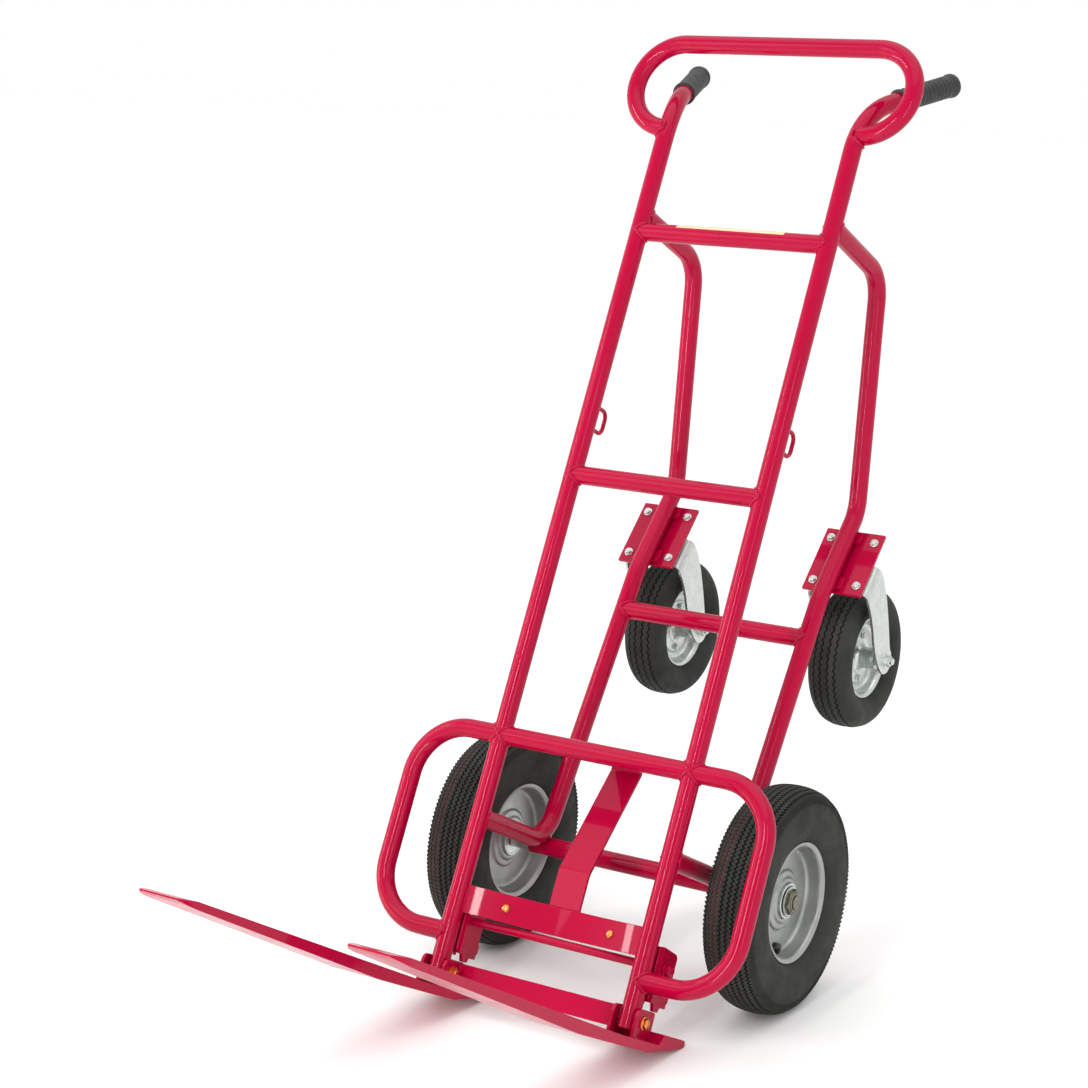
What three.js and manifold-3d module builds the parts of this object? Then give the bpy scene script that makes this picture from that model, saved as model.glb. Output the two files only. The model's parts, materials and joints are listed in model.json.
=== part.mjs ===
// Convertible hand truck with folding forks, two main wheels and two rear swivel casters.
// Units are millimetres. The frame is drawn upright in its own group: X to the right, Y to the
// back, Z along the uprights, with Z = 0 level with the bottom of the main wheels. The group is
// then leaned back until the truck stands on its fork heels and main wheels, on the plane Z = 0.
import * as THREE from 'three';
import { mergeVertices } from 'three/addons/utils/BufferGeometryUtils.js';
import Module from 'manifold-3d';

const wasm = await Module();
wasm.setup();

// ---------------------------------------------------------------- driving dimensions
const GAP = 0.3;                    // clearance between pieces that are welded or touch
const TUBE_R = 17;                  // frame tube, outer radius
const TUBE_BORE = 14.2;             // frame tube, inner radius
const HALF_TRACK = 195.5;           // uprights and rear tubes, either side of the middle

const UPRIGHT_FOOT = -86;           // lower end of the uprights
const HANDLE_VERTEX = 1589;         // where the upright's axis meets the handle's axis
const HANDLE_BEND_R = 150;
const HANDLE_DIR = new THREE.Vector3(0.3, 0.747, 0.593).normalize();
const HANDLE_LENGTH = 238;          // from the vertex to the tube's end, inside the grip
const GRIP_LENGTH = 150;
const GRIP_R = 21;

const UPPER_BAR_Z = 1331.6;
const MIDDLE_BAR_Z = 852.7;
const LOWER_BAR_Z = 358.5;

const LOOP_Z = 1628;                // handle loop: height of its round ends' centres
const LOOP_R = 86;
const LOOP_HALF = 200;              // handle loop: half distance between those centres

const GUARD_REACH = 361;            // wheel guard loops: outermost centreline
const GUARD_BOTTOM = -3;
const GUARD_BEND_R = 100;

// rear tube, centreline corners as (y, z), from the top joint down to the bottom joint
const REAR_PATH = [[0, 1366], [226, 1366], [379, 950], [314.3, 762], [238, 207], [0, 207]];
const REAR_BENDS = [70, 75, 75, 65];
const REAR_BAR = [303.5, 680];      // rear crossbar centre, as (y, z)

const AXLE_Y = 252;
const AXLE_Z = 202;
const AXLE_R = 10;
const AXLE_TUBE_HALF = 226;
const WHEEL_MID = 289;              // main wheels, either side of the middle
const WHEEL_R = 203;
const WHEEL_SIDES = 28;

const PIVOT_Y = 5;                  // fork hinge axis
const PIVOT_Z = -70;
const FORK_HALF = 50;               // half width of a fork blade
const EAR_IN = 20;                  // fork ears, measured from the upright's middle plane
const EAR_T = 6;
const HINGE_R = 6;

const ROD_Y = 40;                   // cross rod through the hinge brackets
const ROD_Z = 26;
const ROD_R = 7.5;

const PLATE_HALF = 178;             // curved lower plate, half length between the uprights
const PLATE_SAG = 34;               // how far its middle lies behind its ends
const PLATE_Z = [36, 86];
const PLATE_T = 6;
const PLATE_BOLT_X = 107;
const STRAP_WIDTH = 62;

const CASTER_X = 200;
const CASTER_TILT = THREE.MathUtils.degToRad(19.2);
const CASTER_Y = 366;               // centre of the mounting plate's front face
const CASTER_Z = 849;
const CASTER_DROP = 188;            // from that face to the caster's axle
const CASTER_TRAIL = 87;
const CASTER_WHEEL_R = 136;
const CASTER_SIDES = 24;
const BOLT_PITCH = [88.6, 98];      // caster bolts, across and along the plate

// ---------------------------------------------------------------- materials
const red = new THREE.MeshStandardMaterial({ color: 0xc00038, roughness: 0.32, metalness: 0.1 });
const zinc = new THREE.MeshStandardMaterial({ color: 0xb9bdb8, roughness: 0.35, metalness: 0.9 });
const silver = new THREE.MeshStandardMaterial({ color: 0x9c9f9e, roughness: 0.42, metalness: 0.6 });
const tread = new THREE.MeshStandardMaterial({ color: 0x3a3b39, roughness: 0.8, metalness: 0 });
const grip = new THREE.MeshStandardMaterial({ color: 0x2c2f2e, roughness: 0.6, metalness: 0 });
const sticker = new THREE.MeshStandardMaterial({ color: 0xd9b98a, roughness: 0.5, metalness: 0 });

// ---------------------------------------------------------------- solids
/** Merges shared vertices, drops collapsed triangles and turns the faces outward. */
function weld(geometry) {
  const bare = geometry.clone();
  for (const name of ['normal', 'uv']) bare.deleteAttribute(name);
  const merged = mergeVertices(bare, 1e-4);
  const position = merged.attributes.position;
  const index = Array.from(merged.index.array);
  const kept = [];
  let volume = 0;
  const [a, b, c] = [new THREE.Vector3(), new THREE.Vector3(), new THREE.Vector3()];
  for (let i = 0; i < index.length; i += 3) {
    const [p, q, r] = index.slice(i, i + 3);
    if (p === q || q === r || r === p) continue;
    kept.push([p, q, r]);
    a.fromBufferAttribute(position, p);
    b.fromBufferAttribute(position, q);
    c.fromBufferAttribute(position, r);
    volume += a.dot(b.cross(c));
  }
  merged.setIndex(kept.flatMap(([p, q, r]) => (volume < 0 ? [p, r, q] : [p, q, r])));
  return merged;
}

function toManifold(geometry) {
  const solid = weld(geometry);
  return new wasm.Manifold(new wasm.Mesh({
    numProp: 3,
    vertProperties: new Float32Array(solid.attributes.position.array),
    triVerts: new Uint32Array(solid.index.array),
  }));
}

function fromManifold(manifold) {
  const mesh = manifold.getMesh();
  const geometry = new THREE.BufferGeometry();
  geometry.setAttribute('position', new THREE.BufferAttribute(mesh.vertProperties, 3));
  geometry.setIndex(new THREE.BufferAttribute(mesh.triVerts, 1));
  return geometry;
}

const subtract = (body, ...tools) => fromManifold(
  tools.reduce((left, tool) => left.subtract(toManifold(tool)), toManifold(body)));

const join = (first, ...others) => fromManifold(
  others.reduce((sum, other) => sum.add(toManifold(other)), toManifold(first)));

/** A run through corner points, with an arc of its own radius at each inner corner. */
class BentRun extends THREE.Curve {
  constructor(corners, radii, arcSteps = 6) {
    super();
    this.stations = [];
    const last = corners.length - 1;
    const heading = (i) => corners[i + 1].clone().sub(corners[i]).normalize();
    this.add(corners[0], heading(0));
    for (let i = 1; i < last; i += 1) {
      const [before, after] = [heading(i - 1), heading(i)];
      const angle = before.angleTo(after);
      const radius = radii[i - 1];
      const start = corners[i].clone().addScaledVector(before, -radius * Math.tan(angle / 2));
      const side = after.clone().addScaledVector(before, -after.dot(before)).normalize();
      const steps = Math.max(2, Math.round(arcSteps * angle / (Math.PI / 2)));
      for (let k = 0; k <= steps; k += 1) {
        const turn = angle * k / steps;
        const point = start.clone().addScaledVector(before, radius * Math.sin(turn))
          .addScaledVector(side, radius * (1 - Math.cos(turn)));
        this.add(point, before.clone().multiplyScalar(Math.cos(turn))
          .addScaledVector(side, Math.sin(turn)));
      }
    }
    this.add(corners[last], heading(last - 1));
  }

  add(point, tangent) {
    this.stations.push({ point: point.clone(), tangent: tangent.clone().normalize() });
  }

  get steps() { return this.stations.length - 1; }

  at(u) { return this.stations[Math.round(u * this.steps)]; }

  getPointAt(u) { return this.at(u).point.clone(); }

  getTangentAt(u) { return this.at(u).tangent.clone(); }
}

const ring = (radius, sides) => Array.from({ length: sides }, (_, i) => {
  const angle = 2 * Math.PI * (i + 0.5) / sides;
  return new THREE.Vector2(radius * Math.cos(angle), radius * Math.sin(angle));
});

/** A hollow tube along a run, open at both ends; a bore of 0 makes a solid rod. */
function tube(run, radius = TUBE_R, bore = TUBE_BORE, sides = 12) {
  const section = new THREE.Shape(ring(radius, sides));
  if (bore > 0) section.holes.push(new THREE.Path(ring(bore, 8)));
  return new THREE.ExtrudeGeometry(section, { steps: run.steps, extrudePath: run });
}

const v3 = (x, y, z) => new THREE.Vector3(x, y, z);
const straight = (from, to) => new BentRun([from, to], []);

/** The space that a tube fills, with the clearance that a coped neighbour keeps to it. */
const cutter = (run) => tube(run, TUBE_R + GAP, 0);

/** A flat outline in the YZ plane, given as [y, z] corners, from x0 to x1. */
function slab(outline, x0, x1, holes = []) {
  const shape = new THREE.Shape(outline.map(([y, z]) => new THREE.Vector2(y, z)));
  for (const hole of holes) shape.holes.push(new THREE.Path(hole));
  const geometry = new THREE.ExtrudeGeometry(shape, { depth: x1 - x0, bevelEnabled: false });
  // the outline's plane turns from XY to YZ
  geometry.applyMatrix4(new THREE.Matrix4().makeBasis(v3(0, 1, 0), v3(0, 0, 1), v3(1, 0, 0)));
  return geometry.translate(x0, 0, 0);
}

const circle = (y, z, radius, sides = 16) =>
  ring(radius, sides).map((p) => new THREE.Vector2(y + p.x, z + p.y));

const block = (x0, x1, y0, y1, z0, z1) => new THREE.BoxGeometry(x1 - x0, y1 - y0, z1 - z0)
  .translate((x0 + x1) / 2, (y0 + y1) / 2, (z0 + z1) / 2);

/** A solid of revolution about the X axis, from [x, radius] points. */
function turned(profile, sides, phase = 0) {
  const points = profile.map(([x, r]) => new THREE.Vector2(r, x));
  return new THREE.LatheGeometry(points, sides, phase).rotateZ(-Math.PI / 2);
}

/** The same, for a profile that closes on itself. */
const turnedRing = (profile, sides, phase = 0) => turned([...profile, profile[0]], sides, phase);

/** A prism about the X axis: a hexagon has 6 sides, a shank 12. */
const rodX = (x0, x1, radius, sides = 12) =>
  new THREE.CylinderGeometry(radius, radius, x1 - x0, sides)
    .rotateZ(-Math.PI / 2).translate((x0 + x1) / 2, 0, 0);

/** A bolt along X: head below x0, shank to x1, and a nut ending at x1 less its tail. */
function bolt({ grip: [x0, x1], shank, hex, head, nut, tail }) {
  return join(
    rodX(x0 - GAP - head, x0 - GAP, hex, 6),
    rodX(x0 - GAP - head / 2, x1 + GAP + nut + tail, shank),
    rodX(x1 + GAP, x1 + GAP + nut, hex, 6));
}

// ---------------------------------------------------------------- assembly
const part = new THREE.Group();
const truck = new THREE.Group();
part.add(truck);

function piece(name, geometry, material, parent = truck) {
  const mesh = new THREE.Mesh(weld(geometry), material);
  mesh.name = name;
  parent.add(mesh);
  return mesh;
}

/** Runs a maker once for each side: -1 is left, +1 is right. */
const bothSides = (make) => [['left', -1], ['right', 1]].forEach(([side, sign]) => make(side, sign));

// ---- uprights: one tube each, bent back and outward into a handle
const uprightRun = (sign) => {
  const vertex = v3(sign * HALF_TRACK, 0, HANDLE_VERTEX);
  const outward = v3(sign * HANDLE_DIR.x, HANDLE_DIR.y, HANDLE_DIR.z);
  const end = vertex.clone().addScaledVector(outward, HANDLE_LENGTH);
  return new BentRun([v3(sign * HALF_TRACK, 0, UPRIGHT_FOOT), vertex, end], [HANDLE_BEND_R], 7);
};
const uprightCutters = [-1, 1].map((sign) => cutter(uprightRun(sign)));

bothSides((side, sign) => {
  const hole = rodX(-30, 30, HINGE_R + GAP).translate(sign * HALF_TRACK, PIVOT_Y, PIVOT_Z);
  piece(`${side}_upright`, subtract(tube(uprightRun(sign)), hole), red);
});

// ---- handle loop and crossbars, coped to the uprights
const loopRun = () => {
  const stations = [];
  const arc = (sign, from, to) => {
    for (let k = 0; k <= 10; k += 1) {
      const angle = from + (to - from) * k / 10;
      const point = v3(sign * (LOOP_HALF + LOOP_R * Math.cos(angle)), 0,
        LOOP_Z + LOOP_R * Math.sin(angle));
      stations.push({ point, tangent: v3(-sign * Math.sin(angle), 0, Math.cos(angle)) });
    }
  };
  const start = -Math.PI / 2;
  arc(-1, start, Math.PI / 2);
  arc(1, Math.PI / 2, start);
  stations.slice(11).forEach((station) => station.tangent.negate());
  const run = new BentRun([v3(0, 0, 0), v3(1, 0, 0)], []);
  run.stations = stations;
  return run;
};
piece('handle_loop', subtract(tube(loopRun()), ...uprightCutters), red);

const crossbar = (z, y = 0, cutters = uprightCutters) => subtract(
  tube(straight(v3(-HALF_TRACK, y, z), v3(HALF_TRACK, y, z))), ...cutters);
piece('upper_crossbar', crossbar(UPPER_BAR_Z), red);
piece('middle_crossbar', crossbar(MIDDLE_BAR_Z), red);
piece('lower_crossbar', crossbar(LOWER_BAR_Z), red);

const LABEL = { half: 111, from: 0.45, to: 1.25, thick: 0.8 };
{
  // a thin band laid on the upper front of the crossbar
  const arcPoint = (radius, angle) => [-radius * Math.cos(angle), UPPER_BAR_Z + radius * Math.sin(angle)];
  const angles = Array.from({ length: 5 }, (_, i) => LABEL.from + (LABEL.to - LABEL.from) * i / 4);
  const inner = TUBE_R + GAP;
  const outline = [...angles.map((a) => arcPoint(inner, a)),
    ...angles.toReversed().map((a) => arcPoint(inner + LABEL.thick, a))];
  piece('blank_label', slab(outline, -LABEL.half, LABEL.half), sticker);
}

// ---- wheel guard loops, outside the uprights
bothSides((side, sign) => {
  const corner = (x, z) => v3(sign * x, 0, z);
  const run = new BentRun([corner(HALF_TRACK, LOWER_BAR_Z), corner(GUARD_REACH, LOWER_BAR_Z),
    corner(GUARD_REACH, GUARD_BOTTOM), corner(HALF_TRACK, GUARD_BOTTOM)],
  [GUARD_BEND_R, GUARD_BEND_R], 5);
  piece(`${side}_guard_loop`, subtract(tube(run), ...uprightCutters), red);
});

// ---- rear tubes and rear crossbar
const rearRun = (sign) => new BentRun(
  REAR_PATH.map(([y, z]) => v3(sign * HALF_TRACK, y, z)), REAR_BENDS, 5);
const rearCutters = [-1, 1].map((sign) => cutter(rearRun(sign)));
bothSides((side, sign) => {
  piece(`${side}_rear_tube`, subtract(tube(rearRun(sign)), ...uprightCutters), red);
});
piece('rear_crossbar', crossbar(REAR_BAR[1], REAR_BAR[0], rearCutters), red);

// ---- axle tube, axle and nuts
piece('axle_tube', tube(straight(v3(-AXLE_TUBE_HALF, AXLE_Y, AXLE_Z), v3(AXLE_TUBE_HALF, AXLE_Y, AXLE_Z)),
  TUBE_R, AXLE_R + 1.5), red);

const HUB_HALF = 22;
const HUB_R = 32;
const AXLE_END = WHEEL_MID + HUB_HALF + 15;
piece('axle', rodX(-AXLE_END, AXLE_END, AXLE_R, 16).translate(0, AXLE_Y, AXLE_Z), zinc);
bothSides((side, sign) => {
  const start = WHEEL_MID + HUB_HALF + 1;
  const nut = join(rodX(start, start + 3, 26, 24), rodX(start + 2, start + 12, 24, 6));
  const bore = rodX(start - 1, start + 20, AXLE_R + GAP, 16);
  const geometry = subtract(nut, bore);
  if (sign < 0) geometry.rotateZ(Math.PI);
  piece(`${side}_axle_nut`, geometry.translate(0, AXLE_Y, AXLE_Z), zinc);
});

// ---- lean: the fork heels and the main wheels share the ground plane
const HEEL = [127, -89];            // lowest point of a heel when the truck stands, as (y, z)
const heelToAxle = Math.hypot(AXLE_Y - HEEL[0], AXLE_Z - HEEL[1]);
const LEAN = Math.acos(WHEEL_R / heelToAxle) - Math.atan2(AXLE_Y - HEEL[0], AXLE_Z - HEEL[1]);

// ---- main wheels
const mirrored = (half) => [...half, ...half.toReversed().map(([x, r]) => [-x, r])];
// the polygon's flats, not its corners, stand at the wheel's radius
const CROWN_R = WHEEL_R / Math.cos(Math.PI / WHEEL_SIDES);
const TYRE_OUT = [[36, 108.5], [48, 132], [50, 160], [43, 190], [18, CROWN_R]];
const TYRE_IN = [[28, 111], [40, 134], [42, 158], [36, 181], [15, 192]];
const RIM = [[38.5, 107.5], [35.5, 107.5], [32, 101], [-32, 101], [-35.5, 107.5], [-38.5, 107.5],
  [-36.5, 96.5], [-3, 95.5], [-3, HUB_R + GAP], [3, HUB_R + GAP], [3, 95.5], [36.5, 96.5]];
const flatDown = (sides) => LEAN + Math.PI / sides;   // turns a flat of the polygon to the ground

const bothFaces = (outer, inner) => [...mirrored(outer), ...mirrored(inner).toReversed()];
bothSides((side, sign) => {
  const wheel = new THREE.Group();
  wheel.position.set(sign * WHEEL_MID, AXLE_Y, AXLE_Z);
  truck.add(wheel);
  const phase = flatDown(WHEEL_SIDES);
  piece(`${side}_tyre`, turnedRing(bothFaces(TYRE_OUT, TYRE_IN), WHEEL_SIDES, phase), tread, wheel);
  const hub = [[HUB_HALF, HUB_R], [-HUB_HALF, HUB_R], [-HUB_HALF, AXLE_R + GAP], [HUB_HALF, AXLE_R + GAP]];
  piece(`${side}_hub`, turnedRing(hub, 24), zinc, wheel);
  const stem = tube(straight(v3(sign * 5, 0, -84), v3(sign * 34, 0, -79)), 4, 0, 8);
  const stemHole = tube(straight(v3(sign * -8, 0, -86.2), v3(sign * 10, 0, -83.1)), 4.4, 0, 8);
  const rim = subtract(turnedRing(RIM, WHEEL_SIDES, phase), stemHole);
  piece(`${side}_rim`, rim, silver, wheel);
  piece(`${side}_valve_stem`, stem, grip, wheel);
});

// ---- curved lower plate with its two bolts, and the strap behind it
const plateRadius = (PLATE_HALF ** 2 + PLATE_SAG ** 2) / (2 * PLATE_SAG);
const plateY = (x) => PLATE_SAG - plateRadius + Math.sqrt(plateRadius ** 2 - x ** 2);
{
  const xs = Array.from({ length: 13 }, (_, i) => (PLATE_HALF + 10) * (i / 6 - 1));
  const outline = new THREE.Shape([
    ...xs.map((x) => new THREE.Vector2(x, plateY(x))),
    ...xs.toReversed().map((x) => new THREE.Vector2(x, plateY(x) + PLATE_T))]);
  const bent = new THREE.ExtrudeGeometry(outline, { depth: PLATE_Z[1] - PLATE_Z[0], bevelEnabled: false })
    .translate(0, 0, PLATE_Z[0]);
  const middle = (PLATE_Z[0] + PLATE_Z[1]) / 2;
  const boltY = plateY(PLATE_BOLT_X);
  const boltTurn = Math.asin(PLATE_BOLT_X / plateRadius);
  const place = (geometry, sign) => geometry.rotateZ(Math.PI / 2 - sign * boltTurn)
    .translate(sign * PLATE_BOLT_X, boltY, middle);
  const holes = [-1, 1].map((sign) => place(rodX(-20, 20, 5.4), sign));
  piece('curved_lower_plate', subtract(bent, ...uprightCutters, ...holes), red);
  bothSides((side, sign) => {
    const geometry = bolt({ grip: [-0.4, PLATE_T + 0.6], shank: 5, hex: 7.8, head: 5, nut: 6, tail: 3 });
    piece(`${side}_plate_bolt`, place(geometry, sign), red);
  });
}
{
  const y = PLATE_SAG + PLATE_T / 2;
  const run = new BentRun([v3(0, y, PLATE_Z[1] + GAP), v3(0, y, 152), v3(0, 133, 365),
    v3(0, TUBE_R - 6, 365)], [30, 12], 6);
  const half = STRAP_WIDTH / 2;
  const section = new THREE.Shape([[-half, -3], [half, -3], [half, 3], [-half, 3]]
    .map(([x, t]) => new THREE.Vector2(t, x)));
  const strap = new THREE.ExtrudeGeometry(section, { steps: run.steps, extrudePath: run });
  const bar = cutter(straight(v3(-60, 0, LOWER_BAR_Z), v3(60, 0, LOWER_BAR_Z)));
  piece('centre_strap', subtract(strap, bar), red);
}

// ---- strap eyes on the backs of the uprights
bothSides((side, sign) => {
  const corner = (y, z) => v3(sign * HALF_TRACK, y, z);
  const run = new BentRun([corner(6, 991), corner(57, 991), corner(57, 948), corner(6, 948)],
    [12, 12], 4);
  piece(`${side}_strap_eye`, subtract(tube(run, 4, 0, 8), ...uprightCutters), red);
});

// ---- hinge brackets behind the feet of the uprights, and the rod through them
const BRACKET_OUT = 23.3;
bothSides((side, sign) => {
  const back = TUBE_R + GAP;
  const flange = [[back, 62], [66, 56], [72, 50], [72, -38], [52, -38], [48, -47.6], [32, -47.6],
    [26, -34], [back, -34]];
  const hole = circle(ROD_Y, ROD_Z, ROD_R + GAP, 12);
  const flanges = [-1, 1].map((edge) => {
    const [from, to] = [BRACKET_OUT - 6, BRACKET_OUT].map((x) => edge * x).sort((p, q) => p - q);
    return slab(flange, from, to, [hole]);
  });
  const web = block(-BRACKET_OUT, BRACKET_OUT, back, back + 4, -34, 62);
  piece(`${side}_hinge_bracket`, join(web, ...flanges).translate(sign * HALF_TRACK, 0, 0), red);
});
{
  const outer = HALF_TRACK + BRACKET_OUT + GAP;
  const rod = join(rodX(-outer - 14, outer + 14, ROD_R), rodX(outer, outer + 11, 12.5, 6),
    rodX(-outer - 11, -outer, 12.5, 6));
  piece('bracket_rod', rod.translate(0, ROD_Y, ROD_Z), red);
}

// ---- folding forks: blades with a pair of ears that straddle each upright's foot
const BLADE = [[-811, -78.5], [-775, -75], [-100, -98], [32, -98], [44, -79], [119, -79],
  [124, -82], HEEL, [114, -94], [0, -114.5], [-245, -115], [-775, -87], [-811, -81.5]];
const earOutline = () => {
  const [y0, y1, top, radius] = [-22, 38, -48, 15];
  const corner = (cy, from) => Array.from({ length: 5 }, (_, k) => {
    const angle = from - Math.PI / 2 * k / 4;
    return [cy + radius * Math.cos(angle), top - radius + radius * Math.sin(angle)];
  });
  return [[y0, -99], ...corner(y0 + radius, Math.PI), [y1 - 3, top], [y1, top - 3], [y1, -99]];
};
bothSides((side, sign) => {
  const ears = [-1, 1].map((edge) => {
    const [from, to] = [EAR_IN, EAR_IN + EAR_T].map((x) => edge * x).sort((p, q) => p - q);
    return slab(earOutline(), from, to, [circle(PIVOT_Y, PIVOT_Z, HINGE_R + GAP, 12)]);
  });
  // the blade narrows over its last stretch, in plan
  const plan = new THREE.Shape([[-FORK_HALF, 200], [-FORK_HALF, -775], [-36, -811], [36, -811],
    [FORK_HALF, -775], [FORK_HALF, 200]].map(([x, y]) => new THREE.Vector2(x, y)));
  const prism = new THREE.ExtrudeGeometry(plan, { depth: 80, bevelEnabled: false }).translate(0, 0, -130);
  const blade = toManifold(slab(BLADE, -FORK_HALF, FORK_HALF)).intersect(toManifold(prism));
  const fork = join(fromManifold(blade), ...ears);
  piece(`${side}_fork`, fork.translate(sign * HALF_TRACK, 0, 0), red);
});
const EAR_FACE = HALF_TRACK - EAR_IN - EAR_T - GAP;
piece('fork_cross_plate', block(-EAR_FACE, EAR_FACE, 28, 36, -88, -50), red);
bothSides((side, sign) => {
  const half = EAR_IN + EAR_T;
  const geometry = bolt({ grip: [-half, half], shank: HINGE_R, hex: 10, head: 7, nut: 8, tail: 3 });
  if (sign > 0) geometry.rotateZ(Math.PI);
  piece(`${side}_hinge_bolt`, geometry.translate(sign * HALF_TRACK, PIVOT_Y, PIVOT_Z), red);
});

// ---- grips
bothSides((side, sign) => {
  const outward = v3(sign * HANDLE_DIR.x, HANDLE_DIR.y, HANDLE_DIR.z);
  const inside = GRIP_LENGTH - 5;
  const sleeve = turned([[GRIP_LENGTH, 0], [GRIP_LENGTH, GRIP_R - 3], [GRIP_LENGTH - 3, GRIP_R],
    [0, GRIP_R], [0, TUBE_R + 0.8], [inside, TUBE_R + 0.8], [inside, 0]], 16);
  sleeve.applyQuaternion(new THREE.Quaternion().setFromUnitVectors(v3(1, 0, 0), outward));
  const mouth = v3(sign * HALF_TRACK, 0, HANDLE_VERTEX)
    .addScaledVector(outward, HANDLE_LENGTH - inside + 1);
  piece(`${side}_grip`, sleeve.translate(mouth.x, mouth.y, mouth.z), grip);
});

// ---- casters, drawn in a frame of their own: Z along the swivel axis, Y up the frame
const MOUNT_T = 6;
const TOP_PLATE_T = 5;
const LEG_IN = 58;
const LEG_T = 5;
const boltPlaces = [[1, 1], [-1, 1], [1, -1], [-1, -1]]
  .map(([i, j]) => [i * BOLT_PITCH[0] / 2, j * BOLT_PITCH[1] / 2]);
const boltHoles = (radius) => boltPlaces.map(([x, y]) =>
  new THREE.CylinderGeometry(radius, radius, 60, 10).rotateX(Math.PI / 2).translate(x, y, -5));

const CASTER_TYRE_OUT = [[25, 77.8], [39, 92], [42, 110], [35, 127], [16, CASTER_WHEEL_R]];
const CASTER_TYRE_IN = [[17, 80], [33, 95], [35, 109], [29, 120], [13, 128]];
const CASTER_RIM = [[27, 77], [24, 77], [21, 70], [-21, 70], [-24, 77], [-27, 77], [-26, 67],
  [-2.5, 66], [-2.5, 19], [-44, 19], [-44, 8.3], [44, 8.3], [44, 19], [2.5, 19], [2.5, 66], [26, 67]];

/** Caster leg, in (y, z) of the caster's frame: from the crown down to a round axle boss. */
const legOutline = () => {
  const boss = Array.from({ length: 8 }, (_, k) => {
    const angle = THREE.MathUtils.degToRad(-10 - 200 * k / 7);
    return [-CASTER_TRAIL + 26 * Math.cos(angle), -CASTER_DROP + 26 * Math.sin(angle)];
  });
  return [[14, -22], [12, -40], [8, -64], [-6, -98], [-26, -135], [-46, -168], ...boss,
    [-106, -150], [-97, -126], [-71, -80], [-60, -41], [-54, -22]];
};

bothSides((side, sign) => {
  const caster = new THREE.Group();
  caster.position.set(sign * CASTER_X, CASTER_Y, CASTER_Z);
  caster.rotation.x = Math.PI / 2 - CASTER_TILT;
  truck.add(caster);
  caster.updateMatrix();

  // red mounting plate with two saddle tabs that reach the rear tube
  const tubeSpace = rearCutters[sign < 0 ? 0 : 1].clone().applyMatrix4(caster.matrix.clone().invert());
  const offset = sign * (HALF_TRACK - CASTER_X);
  const tabs = [[40, 64], [-64, -40]].map(([y0, y1]) => block(offset - 25, offset + 25, y0, y1, -3, 9));
  const plate = join(block(-60, 60, -70, 70, -MOUNT_T, 0), ...tabs);
  piece(`${side}_caster_mount`, subtract(plate, tubeSpace, ...boltHoles(4.4)), red, caster);

  const topZ = -MOUNT_T - GAP;
  const topPlate = block(-57, 57, -66, 66, topZ - TOP_PLATE_T, topZ);
  piece(`${side}_caster_top_plate`, subtract(topPlate, ...boltHoles(4.4)), zinc, caster);
  boltPlaces.forEach(([x, y], i) => {
    const geometry = bolt({ grip: [0, MOUNT_T + GAP + TOP_PLATE_T], shank: 4, hex: 7.2, head: 5.5, nut: 6, tail: 2 });
    piece(`${side}_caster_bolt_${i + 1}`, geometry.rotateY(Math.PI / 2).translate(x, y, 0), zinc, caster);
  });

  // swivel fork: bearing race, crown and two legs
  const raceTop = topZ - TOP_PLATE_T - GAP;
  const race = new THREE.CylinderGeometry(40, 36, 22 + raceTop, 20).rotateX(Math.PI / 2)
    .translate(0, 0, (raceTop - 22) / 2);
  const outer = LEG_IN + LEG_T;
  const crown = block(-outer, outer, -54, 14, -26, -21.5);
  const axleHole = [circle(-CASTER_TRAIL, -CASTER_DROP, 8.3, 12)];
  const legs = [slab(legOutline(), LEG_IN, outer, axleHole), slab(legOutline(), -outer, -LEG_IN, axleHole)];
  piece(`${side}_caster_fork`, join(race, crown, ...legs), zinc, caster);

  const axleBolt = bolt({ grip: [-outer, outer], shank: 8, hex: 13, head: 9, nut: 10, tail: 6 })
    .translate(0, -CASTER_TRAIL, -CASTER_DROP);
  piece(`${side}_caster_axle`, axleBolt, zinc, caster);

  const wheel = new THREE.Group();
  wheel.position.set(0, -CASTER_TRAIL, -CASTER_DROP);
  caster.add(wheel);
  piece(`${side}_caster_tyre`, turnedRing(bothFaces(CASTER_TYRE_OUT, CASTER_TYRE_IN), CASTER_SIDES), tread, wheel);
  piece(`${side}_caster_rim`, turnedRing(CASTER_RIM, CASTER_SIDES), silver, wheel);
});

// ---------------------------------------------------------------- stance
// The truck leans back about X until heels and wheels stand on Z = 0, and the origin moves to
// the middle of its footprint.
truck.rotation.x = -LEAN;
part.updateMatrixWorld(true);
const reach = new THREE.Box3().setFromObject(part, true);
const centre = reach.getCenter(new THREE.Vector3());
truck.position.set(-centre.x, -centre.y, -reach.min.z);
part.updateMatrixWorld(true);

export default part;
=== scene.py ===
"""Visual model of the convertible hand truck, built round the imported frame."""
import json
import math

import bmesh
import bpy
import numpy as np
from mathutils import Matrix, Vector


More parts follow.
